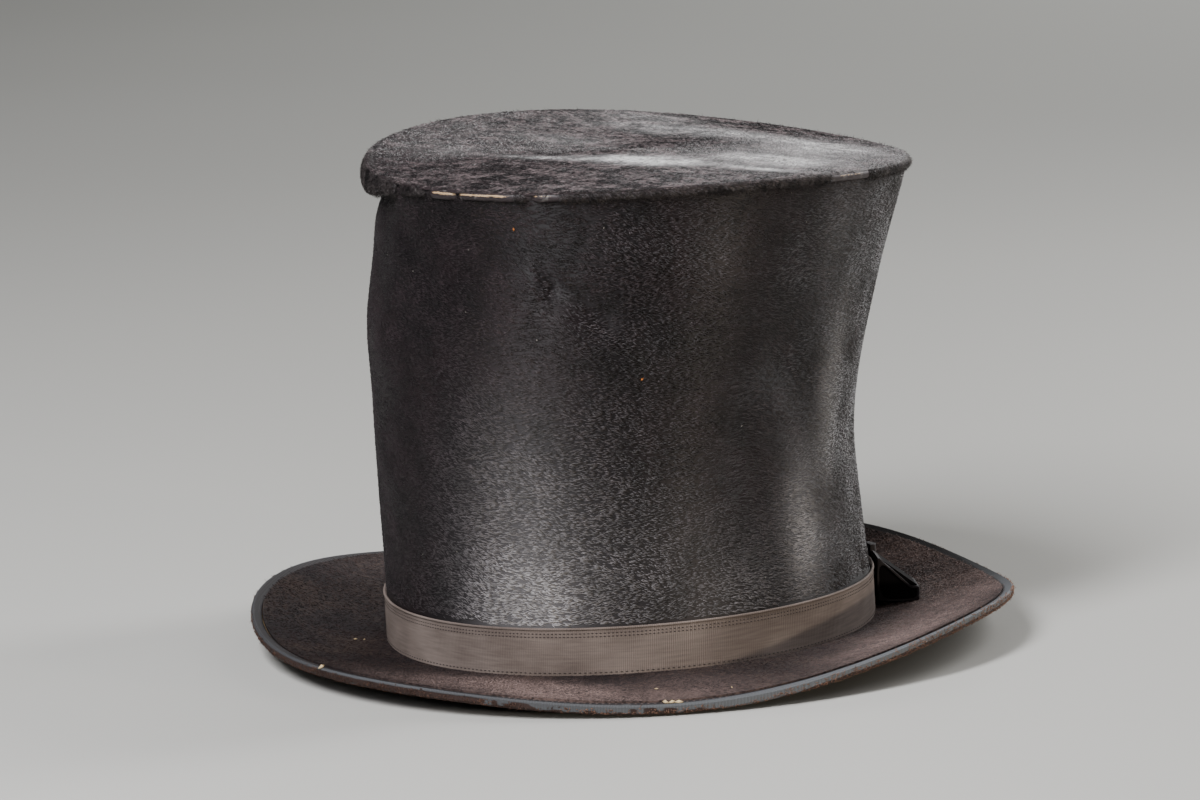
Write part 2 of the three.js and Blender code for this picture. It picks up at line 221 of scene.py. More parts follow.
def lay_cloth(piece, across):
    """Gives a piece a UV map in metres: round the hat, and across(points)."""
    mesh = piece.data
    points = points_of(piece)
    corner = np.empty(len(mesh.loops), np.int32)
    mesh.loops.foreach_get("vertex_index", corner)
    start = np.empty(len(mesh.polygons), np.int32)
    mesh.polygons.foreach_get("loop_start", start)
    count = np.diff(np.append(start, len(corner)))
    run = run_of(points)[corner]
    most = np.repeat(np.maximum.reduceat(run, start), count)
    run = np.where(most - run > ROUND / 2, run + ROUND, run)
    places = np.stack([run, across(points)[corner]], 1)
    layer = mesh.uv_layers.new(name="cloth")
    layer.data.foreach_set("uv", places.astype(np.float32).ravel())


def upward_of(points):
    return points[:, 2]


def outward_of(points):
    return np.hypot(points[:, 0], points[:, 1])


print("round the foot of the crown, mm:", round(ROUND / MM))

# %% [markdown]
# ## Painted light on the nap
# Paler nap stands in for light. The crown's two bright streaks, low at the front and down the
# wearer's left side of the wall, the sheen on the tip's left half and the lit front of the brim
# are painted highlight, given as nap rubbed grey. Each surface has a table of soft spots. Its
# pieces carry the sum as an attribute that their finishes read. On the tip and the brim the
# painted light is blotchy inside each spot.

# %% Spots of painted light and wear
WEAR_AND_PAINTED_LIGHT_WALL = [
    # turn (degrees), height (mm), spread of each, strength
    (-85, 20, 13, 22, 0.9),
    (-84, 26, 8, 16, 0.5),
    (-86, 62, 15, 28, 0.28),
    (-82, 95, 22, 26, 0.05),
    (-66, 26, 34, 40, 0.24),
    (-33, 24, 12, 14, 0.16),
    (-13, 44, 6, 22, 0.75),
    (-2, 82, 5, 24, 0.42),
    (-1, 112, 5, 18, 0.18),
    (-9, 148, 6, 16, 0.12),
    (-40, 150, 6, 14, 0.1),
    (100, 40, 14, 34, 0.6),
    (172, 34, 12, 30, 0.7),
    (174, 100, 10, 36, 0.3),
]
WEAR_AND_PAINTED_LIGHT_TIP = [
    # x and y (mm), spread of each, strength
    (18, -26, 22, 8, 1.0),
    (24, -34, 12, 5, 0.7),
    (60, -4, 20, 15, 0.85),
    (66, -30, 14, 4, 0.7),
    (56, 46, 24, 24, 0.6),
    (8, 60, 40, 14, 0.45),
    (-34, 16, 20, 10, 0.12),
    (-18, -30, 16, 4, 0.5),
    (-54, -26, 14, 8, 0.15),
    (-30, 84, 20, 12, 0.2),
]
WEAR_AND_PAINTED_LIGHT_BRIM = [
    # x and y (mm), spread of each, strength
    (24, -128, 46, 17, 1.0),
    (30, -118, 40, 10, 0.3),
    (76, -98, 22, 18, 0.45),
    (90, 84, 34, 44, 1.0),
    (112, -14, 17, 62, 0.9),
    (60, 125, 34, 18, 0.8),
    (-60, 125, 40, 20, 0.5),
    (-118, 40, 12, 40, 0.15),
]
BLOTCH = 7 * MM
TIP_BLOTCHY = 0.7
BRIM_BLOTCHY = 0.4


def spot_sum(across, up, spots):
    """The sum of soft spots at each place."""
    total = np.zeros(len(across))
    for centre_a, centre_u, spread_a, spread_u, strength in spots:
        total += strength * bump(across, centre_a, spread_a) * bump(up, centre_u, spread_u)
    return np.clip(total, 0, 1)


# Painted highlight: the crown's two bright streaks, as spots of paler nap.
def wear_and_painted_light_wall(points):
    return spot_sum(np.degrees(turn_of(points)), points[:, 2] / MM, WEAR_AND_PAINTED_LIGHT_WALL)


def wear_and_painted_light_flat(points, spots, blotchy):
    wear_and_painted_light_share = spot_sum(points[:, 0] / MM, points[:, 1] / MM, spots)
    return np.clip(wear_and_painted_light_share * (1 + blotchy * uneven(points, BLOTCH)), 0, 1)


# Painted sheen on the tip.
def wear_and_painted_light_tip(points):
    return wear_and_painted_light_flat(points, WEAR_AND_PAINTED_LIGHT_TIP, TIP_BLOTCHY)


# Painted light on the brim's front and toward the wearer's left.
def wear_and_painted_light_brim(points):
    return wear_and_painted_light_flat(points, WEAR_AND_PAINTED_LIGHT_BRIM, BRIM_BLOTCHY)


def write_value(piece, name, values):
    """Stores one number for each of the piece's vertices, for its finish to read."""
    attribute = piece.data.attributes.new(name, "FLOAT", "POINT")
    attribute.data.foreach_set("value", np.asarray(values, np.float32))


print("rubbed spots:", len(WEAR_AND_PAINTED_LIGHT_WALL) + len(WEAR_AND_PAINTED_LIGHT_TIP) + len(WEAR_AND_PAINTED_LIGHT_BRIM))

# %% [markdown]
# ## Colours and nodes
# Colours are written as a painter would pick them, in sRGB hex, and one function turns them to
# the linear values that the shader wants. One small function adds any node with its settings and
# links, and a few smaller ones add the kinds that every finish here is made of.

# %% Colour and node helpers
def colour(code):
    """Linear RGBA of an sRGB hex code."""
    channels = [int(code[i : i + 2], 16) / 255 for i in (1, 3, 5)]
    linear = [c / 12.92 if c <= 0.04045 else ((c + 0.055) / 1.055) ** 2.4 for c in channels]
    return (*linear, 1.0)


def add_node(tree, kind, settings=None, values=None, links=None, stops=None):
    """Adds a node: its settings, its socket values, its links, and a colour ramp's stops."""
    node = tree.nodes.new("ShaderNode" + kind)
    for name, value in (settings or {}).items():
        setattr(node, name, value)
    for name, value in (values or {}).items():
        node.inputs[name].default_value = value
    for name, output in (links or {}).items():
        tree.links.new(output, node.inputs[name])
    for i, (place, tone) in enumerate(stops or []):
        elements = node.color_ramp.elements
        stop = elements[i] if i < 2 else elements.new(place)
        stop.position = place
        stop.color = tone
    return node


def add_noise(tree, where, size, **values):
    """Noise with blotches of about a size."""
    values["Scale"] = 1 / size
    return add_node(tree, "TexNoise", None, values, {"Vector": where}).outputs["Fac"]


def scaled_sum(tree, first, share, second):
    """The first value times a share, plus the second value."""
    kind = {"operation": "MULTIPLY_ADD"}
    return add_node(tree, "Math", kind, {1: share}, {0: first, 2: second}).outputs[0]


def product(tree, first, second):
    kind = {"operation": "MULTIPLY"}
    return add_node(tree, "Math", kind, None, {0: first, 1: second}).outputs[0]


def spread_out(tree, value, low, high, least=0.0, most=1.0):
    """A value's range from low to high, spread from least to most."""
    ends = {"From Min": low, "From Max": high, "To Min": least, "To Max": most}
    return add_node(tree, "MapRange", None, ends, {"Value": value}).outputs[0]


def blend(tree, share, below, above):
    """Two tones blended by a share. A tone is a hex code or another node's output."""
    values, links = {}, {0: share}
    for socket, tone in ((6, below), (7, above)):
        if isinstance(tone, str):
            values[socket] = colour(tone)
        else:
            links[socket] = tone
    return add_node(tree, "Mix", {"data_type": "RGBA"}, values, links).outputs[2]


def ramp(tree, value, *stops):
    """A ramp of tones, each given by its place and its hex code."""
    stops = [(place, colour(code)) for place, code in stops]
    return add_node(tree, "ValToRGB", None, None, {"Fac": value}, stops).outputs[0]


def stored(tree, name):
    """The number that a piece's vertices carry under a name, or 0 where they carry none."""
    return add_node(tree, "Attribute", {"attribute_name": name}).outputs["Fac"]


def object_place(tree):
    return add_node(tree, "TexCoord").outputs["Object"]


def cloth_place(tree):
    return add_node(tree, "UVMap", {"uv_map": "cloth"}).outputs[0]


def put_on(tree, shader, tone, height=None, strength=0.0, depth=0.0):
    """Gives the shader its colour and, if there's a height, its relief."""
    tree.links.new(tone, shader.inputs["Base Color"])
    if height:
        values = {"Strength": strength, "Distance": depth}
        relief = add_node(tree, "Bump", None, values, {"Height": height})
        tree.links.new(relief.outputs[0], shader.inputs["Normal"])


def new_material(name, **values):
    """A material with its shader's own values set, its node tree and its shader."""
    material = bpy.data.materials.new(name)
    material.use_nodes = True
    shader = material.node_tree.nodes["Principled BSDF"]
    for socket, value in values.items():
        shader.inputs[socket.replace("_", " ")].default_value = value
    return material, material.node_tree, shader


# %% [markdown]
# ## Silk plush
# Plush is a cotton ground with a silk nap about a millimetre long, brushed round the hat. The nap
# is dark where you look into it and shines like hair where it lies across the light, so the
# finish is a dark base with a gloss that is drawn out round the hat. Single hairs are too thin to
# see. The nap is drawn as locks of hair, which is how it reads from across a table.

# %% The plush finish
LOCK_LONG = 1.5 * MM
LOCK_WIDE = 0.45 * MM
TUFT = 3 * MM
WANDER = 22 * MM  # size of the swirls in the brushing
WANDER_FAR = 9 * MM  # how far a swirl carries the locks
PATCH = 45 * MM
DUST_SPAN = 0.22
BARE_RAGGED = 0.9  # how much the nap frays the edge of a bare spot
BARE_FROM = 1.05
BARE_TO = 1.2
BARE_GROUND = "#a48a69"


def silk_plush(name, deep, shine, faded, dust, dust_from, depth, wear_and_painted_light, **values):
    """Black plush: deep between the locks, shine on them, faded in patches, dust caught on top."""
    material, tree, shader = new_material(name, **values)
    cloth = cloth_place(tree)
    drift = add_node(tree, "TexNoise", None, {"Scale": 1 / WANDER}, {"Vector": cloth})
    brushed = add_node(
        tree,
        "VectorMath",
        {"operation": "MULTIPLY_ADD"},
        {1: (WANDER_FAR, WANDER_FAR, 0)},
        {0: drift.outputs["Color"], 2: cloth},
    ).outputs[0]
    lock_scale = {"Scale": (1 / LOCK_LONG, 1 / LOCK_WIDE, 1)}
    locks = add_node(tree, "Mapping", None, lock_scale, {"Vector": brushed}).outputs[0]
    nap = add_noise(tree, locks, 1.0, Detail=3.0, Roughness=0.6)
    tufts = add_noise(tree, brushed, TUFT, Detail=3.0)
    patches = add_noise(tree, cloth, PATCH, Detail=2.0)
    tone = ramp(tree, nap, (0.38, deep), (0.72, shine))
    tone = blend(tree, spread_out(tree, patches, 0.45, 0.7), tone, faded)
    tone = blend(tree, spread_out(tree, tufts, dust_from, dust_from + DUST_SPAN), tone, dust)
    # Painted highlight: a paler tone where the vertices' attribute is high, on the crown's streaks
    # and the tip's sheen.
    tone = blend(tree, stored(tree, "wear_and_painted_light"), tone, wear_and_painted_light)
    ragged = scaled_sum(tree, nap, BARE_RAGGED, stored(tree, "bare"))
    tone = blend(tree, spread_out(tree, ragged, BARE_FROM, BARE_TO), tone, BARE_GROUND)
    put_on(tree, shader, tone, scaled_sum(tree, tufts, 0.5, nap), strength=0.8, depth=depth)
    return material


# The crown's paler rubbed tone is painted highlight for its two streaks.
crown_silk = silk_plush(
    "black silk plush, brushed",
    deep="#070506",
    shine="#1d191b",
    faded="#1a1214",
    dust="#222021",
    dust_from=0.62,
    depth=0.08 * MM,
    wear_and_painted_light="#4a4849",
    Roughness=0.55,
    Specular_IOR_Level=0.25,
    Anisotropic=0.8,
    Anisotropic_Rotation=0.25,
)
# On the tip the paler rubbed tone is painted sheen, and the pale dust flecks are dust and painted
# sheen both.
tip_silk = silk_plush(
    "black silk plush, dusty, with painted sheen",
    deep="#120b0d",
    shine="#352b2d",
    faded="#2a2123",
    dust="#6a6865",
    dust_from=0.58,
    depth=0.15 * MM,
    wear_and_painted_light="#6f6c6a",
    Roughness=0.5,
    Specular_IOR_Level=0.4,
)
print("plush finishes:", crown_silk.name, "|", tip_silk.name)

# %% [markdown]
# ## The dented crown
# An old hat has been squeezed into boxes and picked up by its edge. Its wall shows a crease high
# at the front, a few soft dents, and a nick under the wearer's right end of the tip. A dent goes
# through everything, so one function gives the same push to the plush, the shell and the lining.
# Each dent is a soft bump along a short line: where it starts and ends, how wide, how deep. A
# negative depth pushes outward. Near the band and the tip the wall is held and can't move.

# %% The dents, as pushes into the wall
DENTS = [
    # turn and height of one end, turn and height of the other (degrees, mm), width, depth (mm)
    ((-77.5, 145), (-75.0, 137), 4.0, 1.0),
    ((-75.0, 137), (-64.0, 126), 5.0, 1.7),
    ((-64.0, 126), (-56.0, 119), 7.0, 0.7),
    ((-74.0, 122), (-60.0, 112), 9.0, -1.0),
    ((-21.0, 105), (-13.0, 94), 11.0, 2.3),
    ((-8.0, 88), (-2.0, 82), 12.0, -1.2),
    ((-168.0, 163), (-132.0, 163), 8.0, 4.0),
    ((-121.0, 150), (-110.0, 139), 6.0, 1.1),
    ((-150.0, 118), (-130.0, 112), 16.0, -1.2),
    ((58.0, 60), (76.0, 78), 15.0, 1.8),
    ((120.0, 120), (142.0, 132), 12.0, 1.6),
    ((168.0, 50), (176.0, 70), 18.0, 1.5),
]
WALL_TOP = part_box("crown_plush")[1].z
BAND_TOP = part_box("hat_band")[1].z
UNEVEN = 0.55 * MM
UNEVEN_SIZE = 38 * MM
SOFT_BELOW = 14 * MM  # the wall is free this far over the band
BAND_HOLD = 4 * MM
SOFT_ABOVE = 5 * MM
TIP_HOLD = 1 * MM


def push_in(points):
    """How far the wall is pushed in at each point, in metres."""
    degree = ROUND / 360
    spots = np.stack([np.degrees(turn_of(points)) * degree, points[:, 2]], 1)
    push = UNEVEN * uneven(points, UNEVEN_SIZE)
    for (turn_a, up_a), (turn_b, up_b), width, depth in DENTS:
        start = np.array([turn_a * degree, up_a * MM])
        along = np.array([turn_b * degree, up_b * MM]) - start
        share = np.clip(((spots - start) @ along) / (along @ along), 0, 1)
        away = np.linalg.norm(spots - start - share[:, None] * along, axis=1)
        push += depth * MM * bump(away, 0, width * MM)
    free_below = ease((points[:, 2] - BAND_TOP + BAND_HOLD) / SOFT_BELOW)
    free_above = ease((WALL_TOP - TIP_HOLD - points[:, 2]) / SOFT_ABOVE)
    return push * free_below * free_above


def square_out(points):
    """The way straight out from the oval at each point."""
    turn = turn_of(points)
    return unit(np.stack([np.cos(turn) / FOOT_X, np.sin(turn) / FOOT_Y, 0 * turn], 1))


def dented(piece):
    """Pushes a wall in by its dents."""
    points = points_of(piece)
    move_points(piece, points - square_out(points) * push_in(points)[:, None])
    return piece


# %% Put a piece in the hat
def settle(piece, material, slot, *nodes):
    """Gives a finished piece its material and its place on the hat's one body; the slot is not
    used.
    """
    piece.data.materials.clear()
    piece.data.materials.append(material)
    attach(piece, "root")
    if nodes:
        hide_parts(*nodes)
    print(piece.name, "has", len(piece.data.polygons), "faces")
    return piece


# %% Make the crown's cover
crown_cover = dented(refined("crown_plush", "crown_cover", 3))
lay_cloth(crown_cover, upward_of)
write_value(crown_cover, "wear_and_painted_light", wear_and_painted_light_wall(points_of(crown_cover)))
settle(crown_cover, crown_silk, "crown_plush", "crown_plush")

# %% [markdown]
# ## Gossamer
# Gossamer is cotton muslin soaked in shellac and ironed over a wooden block: stiff, straw brown
# and a little glossy, with the muslin's open weave still to be seen. It shows only where a cover
# is worn through, and at the edges inside the hat. The weave is drawn 0.9 mm apart.

# %% The gossamer finish
MUSLIN = 0.9 * MM
SHELLAC_BLOTCH = 1 / 60.0
WAVES_PER_SCALE = math.pi / 10  # a wave texture of scale 1 repeats every pi / 10


def gossamer_finish():
    """Shellacked muslin: two crossed threads, blotched with shellac."""
    material, tree, shader = new_material(
        "shellacked muslin", Roughness=0.5, Coat_Weight=0.2, Coat_Roughness=0.3
    )
    place = object_place(tree)
    threads = [
        add_node(
            tree,
            "TexWave",
            {"bands_direction": direction},
            {"Scale": WAVES_PER_SCALE / MUSLIN, "Distortion": 0.6},
            {"Vector": place},
        ).outputs["Fac"]
        for direction in ("X", "Z")
    ]
    blotches = add_noise(tree, place, SHELLAC_BLOTCH)
    tone = ramp(tree, blotches, (0.35, "#8a6f47"), (0.65, "#b59c70"))
    weave = scaled_sum(tree, threads[0], 1.0, threads[1])
    put_on(tree, shader, tone, weave, strength=0.5, depth=0.1 * MM)
    return material


gossamer = gossamer_finish()
crown_stiffener = dented(refined("crown_shell", "crown_stiffener", 2))
settle(crown_stiffener, gossamer, "gossamer", "crown_shell")
for node in ("brim_shell", "brim_collar"):
    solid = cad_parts[node].data
    solid.materials.clear()
    solid.materials.append(gossamer)

# %% [markdown]
# ## The tip
# The tip is a flat oval drumhead. Its plush has been stroked flat, its pale grey is painted sheen,
# and its middle has buckled a little. The board under it and the lining below buckle with it, so
# they share one function too. Near the edge the buckles die out, because the wall holds the tip
# there.

# %% The tip's cover and its board
BUCKLE = 0.7 * MM
BUCKLE_SIZE = 45 * MM
HELD_FROM = 0.97  # share of the way out from which the tip is held flat
HELD_SPAN = 0.2
tip_low, tip_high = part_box("tip_plush")
TIP_MIDDLE = (tip_low + tip_high) / 2
TIP_X = (tip_high.x - tip_low.x) / 2
TIP_Y = (tip_high.y - tip_low.y) / 2


def tip_share(points):
    """How far out each point is, from 0 in the tip's middle to 1 at its edge."""
    return np.hypot((points[:, 0] - TIP_MIDDLE.x) / TIP_X, (points[:, 1] - TIP_MIDDLE.y) / TIP_Y)


def buckled(piece):
    """Lets a layer of the tip rise and sink."""
    points = points_of(piece)
    flat = points * [1, 1, 0]
    free = ease((HELD_FROM - tip_share(points)) / HELD_SPAN)
    sway = BUCKLE * uneven(flat, BUCKLE_SIZE) * free
    move_points(piece, points + np.outer(sway, [0, 0, 1]))
    return piece


tip_cover = buckled(refined("tip_plush", "tip_cover", 3))
lay_cloth(tip_cover, outward_of)
write_value(tip_cover, "wear_and_painted_light", wear_and_painted_light_tip(points_of(tip_cover)))
settle(tip_cover, tip_silk, "crown_plush", "tip_plush")
tip_board = buckled(refined("tip_shell", "tip_board", 2))
settle(tip_board, gossamer, "gossamer", "tip_shell")

# %% [markdown]
# ## The rolled edge
# Where the tip's plush is sewn to the wall's, the seam is turned under and stands as a soft roll.
# At the wearer's right it has been knocked over and hangs outside the wall, and in four places it
# is worn down to its cream ground. The roll starts as a torus. Each of its points is then put on
# the tip's rim: its turn says where, and its place round the torus's own section says which side
# of the roll it is on.

# %% Find the rim
ROLL_PARTS = 384  # parts that a ring round the hat has


def rim_of(piece, out=1.0, up=0.0):
    """A function that gives, at any turn, a piece's point furthest out and up, by those shares."""
    points = points_of(piece)
    reach = np.hypot(points[:, 0] / FOOT_X, points[:, 1] / FOOT_Y) * (FOOT_X + FOOT_Y) / 2
    reach = reach * out + points[:, 2] * up
    part = np.floor(turn_of(points) / (2 * math.pi) * ROLL_PARTS).astype(int)
    order = np.lexsort((-reach, part))
    outermost = points[order][np.unique(part[order], return_index=True)[1]]
    turns = turn_of(outermost)

    def rim_at(turn):
        columns = [np.interp(turn, turns, outermost[:, k], period=2 * math.pi) for k in range(3)]
        return np.stack(columns, 1)

    print(piece.name, "rim points:", len(outermost))
    return rim_at


def ring_of(name, sides):
    """A torus with its points and each point's angle round its own section."""
    bpy.ops.mesh.primitive_torus_add(
        major_segments=ROLL_PARTS, minor_segments=sides, major_radius=1, minor_radius=0.25
    )
    piece = bpy.context.object
    piece.name = name
    strip_maps(piece.data)
    ring = points_of(piece)
    return piece, ring, np.arctan2(ring[:, 2], np.hypot(ring[:, 0], ring[:, 1]) - 1)


tip_rim = rim_of(tip_cover)

# %% Roll the edge
ROLL_SIDES = 14
ROLL_HALF_TALL = 1.5 * MM
ROLL_HALF_WIDE = 1.2 * MM
ROLL_SINKS_IN = 0.65  # shares of the roll's half sizes by which its middle lies inside the rim
ROLL_SINKS_DOWN = 0.85
LUMPY = 0.13
LUMP = 9 * MM
KNOCKED_TURN = -150
KNOCKED_SPREAD = 24
KNOCKED_TALL = 4.2 * MM
KNOCKED_WIDE = 2.4 * MM
# from and to (degrees), and how bare
BARE_SPOTS = [(-108.5, -84.5, 1.0), (-81.5, -74.0, 0.8), (-14.5, -3.0, 0.75), (-160, -157, 0.6)]
BARE_SIDE = 0.35  # angle round the roll at which it is barest
BARE_SPREAD = 0.42
BARE_OVER = 2  # a bare spot's soft end reaches this far past it, in degrees
BARE_SOFT = 5

rolled_edge, ring, side = ring_of("rolled_edge", ROLL_SIDES)
rim = tip_rim(np.arctan2(ring[:, 1], ring[:, 0]))
degrees = np.degrees(turn_of(rim))
knocked = bump(degrees, KNOCKED_TURN, KNOCKED_SPREAD)
lumps = 1 + LUMPY * uneven(rim, LUMP)
half_tall = (ROLL_HALF_TALL + KNOCKED_TALL * knocked) * lumps
half_wide = (ROLL_HALF_WIDE + KNOCKED_WIDE * knocked) * lumps
outward = square_out(rim) * (half_wide * (np.cos(side) - ROLL_SINKS_IN))[:, None]
lift = half_tall * (np.sin(side) - ROLL_SINKS_DOWN)
move_points(rolled_edge, rim + outward + np.outer(lift, [0, 0, 1]))
bare = np.zeros(len(rim))
for low, high, strength in BARE_SPOTS:
    past_low = ease((degrees - low + BARE_OVER) / BARE_SOFT)
    past_high = ease((high + BARE_OVER - degrees) / BARE_SOFT)
    inside = past_low * past_high * bump(side, BARE_SIDE, BARE_SPREAD)
    bare = np.maximum(bare, strength * inside)
write_value(rolled_edge, "bare", bare)
lay_cloth(rolled_edge, upward_of)
finish_with(rolled_edge, "SUBSURF", levels=1, render_levels=1)
bpy.ops.object.shade_smooth()
settle(rolled_edge, tip_silk, "crown_plush")

# %% [markdown]
# ## The brim's cover
# The brim is covered with a shorter plush that wear has felted down to a dull reddish brown. It
# has no shine, only a mottle of darker and lighter hair, so its finish is nearly matt. It is
# palest at its front and toward the wearer's left, where light is painted on it. Its surface
# swells a little where the felt has loosened from the shell.

# %% The felted finish
FELT_FLECK = 1.5 * MM
FELT_PATCH = 28 * MM


def felted_finish(name, dark, middle_tone, light, wear_and_painted_light, **values):
    """Worn felt: flecks of three tones, and a matted, pilled surface."""
    material, tree, shader = new_material(name, **values)
    place = object_place(tree)
    flecks = add_noise(tree, place, FELT_FLECK, Detail=3.0, Roughness=0.65)
    patches = add_noise(tree, place, FELT_PATCH, Detail=3.0)
    both = scaled_sum(tree, patches, 0.7, flecks)
    tone = ramp(tree, both, (0.62, dark), (1.15, light), (0.85, middle_tone))
    # Painted light: the felt turns paler where the vertices' attribute is high, in blotches.
    pale = spread_out(tree, both, 0.7, 1.0, least=0.2, most=1.2)
    tone = blend(tree, product(tree, stored(tree, "wear_and_painted_light"), pale), tone, wear_and_painted_light)
    put_on(tree, shader, tone, flecks, strength=0.8, depth=0.35 * MM)
    return material


# The paler rubbed tone is painted light on the brim's front and toward the wearer's left.
brim_felt = felted_finish(
    "worn felted plush",
    dark="#0f0a0b",
    middle_tone="#1b1415",
    light="#30251f",
    wear_and_painted_light="#6b5a55",
    Roughness=0.85,
    Specular_IOR_Level=0.2,
)

# %% Make the brim's cover
SWELL = 0.35 * MM
SWELL_SIZE = 26 * MM
brim_cover = refined("brim_top_plush", "brim_cover", 3)
brim_points = points_of(brim_cover)
swell = SWELL * (1 + uneven(brim_points, SWELL_SIZE))
move_points(brim_cover, brim_points + np.outer(swell, [0, 0, 1]))
lay_cloth(brim_cover, outward_of)
write_value(brim_cover, "wear_and_painted_light", wear_and_painted_light_brim(points_of(brim_cover)))
settle(brim_cover, brim_felt, "brim_plush", "brim_top_plush")
under_cover = refined("brim_under_cloth", "under_cover", 3)
settle(under_cover, brim_felt, "brim_cloth", "brim_under_cloth")

# %% [markdown]
# ## Ribbon
# Grosgrain is a ribbon with a fine warp and a thick, hidden weft, so it has a rib across it every
# half millimetre or so. That is too fine to show, so the ribs are drawn 0.8 mm apart. The black
# dye of the band has faded to a grey brown, unevenly. The binding has stayed nearly black in
# places and has faded to grey in others, and its fold is frayed brown. Only the bow is still
# black.

# %% The ribbon finish
RIB = 0.8 * MM
STREAK_LONG = 11 * MM
STREAK_WIDE = 0.9 * MM
DYE_BLOTCH = 30 * MM


def ribbon_finish(name, dark, light, faded=None, frayed=None, **values):
    """Grosgrain: ribs across it, blotched dye, and other tones where it is faded or frayed."""
    material, tree, shader = new_material(name, **values)
    cloth = cloth_place(tree)
    wave = {"Scale": WAVES_PER_SCALE / RIB, "Distortion": 0.5, "Detail": 1.0}
    ribs = add_node(tree, "TexWave", None, wave, {"Vector": cloth}).outputs["Fac"]
    streak_scale = {"Scale": (1 / STREAK_LONG, 1 / STREAK_WIDE, 1)}
    streaks = add_node(tree, "Mapping", None, streak_scale, {"Vector": cloth}).outputs[0]
    threads = add_noise(tree, streaks, 1.0, Detail=2.0)
    blotches = add_noise(tree, cloth, DYE_BLOTCH, Detail=2.0)
    shade = scaled_sum(tree, ribs, 0.12, scaled_sum(tree, threads, 0.5, blotches))
    tone = blend(tree, spread_out(tree, shade, 0.45, 1.15), dark, light)
    if faded:
        tone = blend(tree, stored(tree, "wear_and_painted_light"), tone, faded)
    if frayed:
        tone = blend(tree, spread_out(tree, stored(tree, "frayed"), 0.35, 0.65), tone, frayed)
    put_on(tree, shader, tone, ribs, strength=0.6, depth=0.15 * MM)
    return material


band_ribbon = ribbon_finish(
    "faded grosgrain", "#473d38", "#7a6f68", Roughness=0.75, Specular_IOR_Level=0.25
)
binding_ribbon = ribbon_finish(
    "faded binding ribbon",
    "#151314",
    "#2b2829",
    faded="#55585b",
    frayed="#2b1e1a",
    Roughness=0.7,
    Specular_IOR_Level=0.25,
)
bow_ribbon = ribbon_finish(
    "black grosgrain", "#1c191a", "#2e292b", Roughness=0.65, Specular_IOR_Level=0.25
)

# %% Make the band
crown_band = refined("hat_band", "crown_band", 3)
lay_cloth(crown_band, upward_of)
settle(crown_band, band_ribbon, "band_ribbon", "hat_band")

# %% [markdown]
# ## The binding
# The binding is folded over the brim's edge. How worn it is depends on how far a point lies in
# from the edge and how far below it: a strip along the top has faded, and the fold under it is
# frayed. To the wearer's left the faded strip is wider, and the frayed one starts lower.

# %% Make the binding
FRAY = 0.35 * MM
FRAY_SIZE = 1.6 * MM
RAGGED = 0.3
RAGGED_SIZE = 1.3 * MM
LEFT_FROM = 66 * MM
LEFT_SPAN = 34 * MM
FRAYED_FROM = -0.1  # mm below the edge
FRAYED_LOWER = 1.3  # lower by this at the wearer's left
FRAYED_SOFT = 0.8
FRAYED_WIDE = 2.0
STRIP_WIDE = 1.3
STRIP_WIDER = 2.0  # wider by this at the wearer's left
STRIP_SOFT = 0.7
# turn and spread (degrees), and how faded; the whole strip is faded by the least share too
FADED_LEAST = 0.25
FADED_TURNS = [(-15, 55, 0.75), (-105, 20, 0.25)]

edge_binding = refined("brim_binding", "edge_binding", 3)
edge_points = points_of(edge_binding)
turns = turn_of(edge_points)
brim_rim = rim_of(edge_binding)(turns)
inward = (outward_of(brim_rim) - outward_of(edge_points)) / MM
below = (brim_rim[:, 2] - edge_points[:, 2]) / MM
to_left = ease((edge_points[:, 0] - LEFT_FROM) / LEFT_SPAN)
frayed = ease((below - FRAYED_FROM - FRAYED_LOWER * to_left) / FRAYED_SOFT)
frayed = frayed * ease(FRAYED_WIDE - inward)
faded = FADED_LEAST + sum(
    strength * bump(np.degrees(turns), turn, spread) for turn, spread, strength in FADED_TURNS
)
faded = faded * ease((STRIP_WIDE + STRIP_WIDER * to_left - inward) / STRIP_SOFT)
fray = FRAY * uneven(edge_points, FRAY_SIZE) * frayed
move_points(edge_binding, edge_points + square_out(edge_points) * fray[:, None])
ragged_line = RAGGED * uneven(edge_points, RAGGED_SIZE)
ragged = frayed * (1 + ragged_line) + RAGGED * ragged_line * (frayed > 0)
write_value(edge_binding, "frayed", np.clip(ragged, 0, 1))
write_value(edge_binding, "wear_and_painted_light", np.clip(faded, 0, 1))
lay_cloth(edge_binding, outward_of)
settle(edge_binding, binding_ribbon, "binding_ribbon", "brim_binding")

# %% [markdown]
# ## The bow
# Each loop of the bow is a hollow ribbon box, and a smaller copy of the loop's own hull fills it,
# so no light comes through. The fill is near black and matt: painted shade for the deep shade
# inside the loop.

# %% Make the bow
SHADE_FILL_SHARE = 0.88
bow_painted_shade, _, _ = new_material(
    "painted shade in the bow's loops", Base_Color=colour("#0d0b0c"), Roughness=0.9, Specular_IOR_Level=0.1
)
BOW = (("bow_front_loop", "front_loop"), ("bow_rear_loop", "rear_loop"), ("bow_knot", "band_knot"))
for node, name in BOW:
    loop = refined(node, name, 3, crease=0.75)
    lay_cloth(loop, upward_of)
    settle(loop, bow_ribbon, "bow_ribbon", node)
    if node == "bow_knot":
        continue
    # The loop's hull, shrunk, in near-black matt ribbon: painted shade for the inside of the loop.
    tuck = refined(node, name + "_painted_shade", 1)
    bpy.ops.object.mode_set(mode="EDIT")
    bpy.ops.mesh.select_all(action="SELECT")
    bpy.ops.mesh.convex_hull()
    bpy.ops.object.mode_set(mode="OBJECT")
    corners = points_of(tuck)
    loop_middle = (corners.min(0) + corners.max(0)) / 2
    move_points(tuck, loop_middle + (corners - loop_middle) * SHADE_FILL_SHARE)
    lay_cloth(tuck, upward_of)
    settle(tuck, bow_painted_shade, "bow_ribbon")

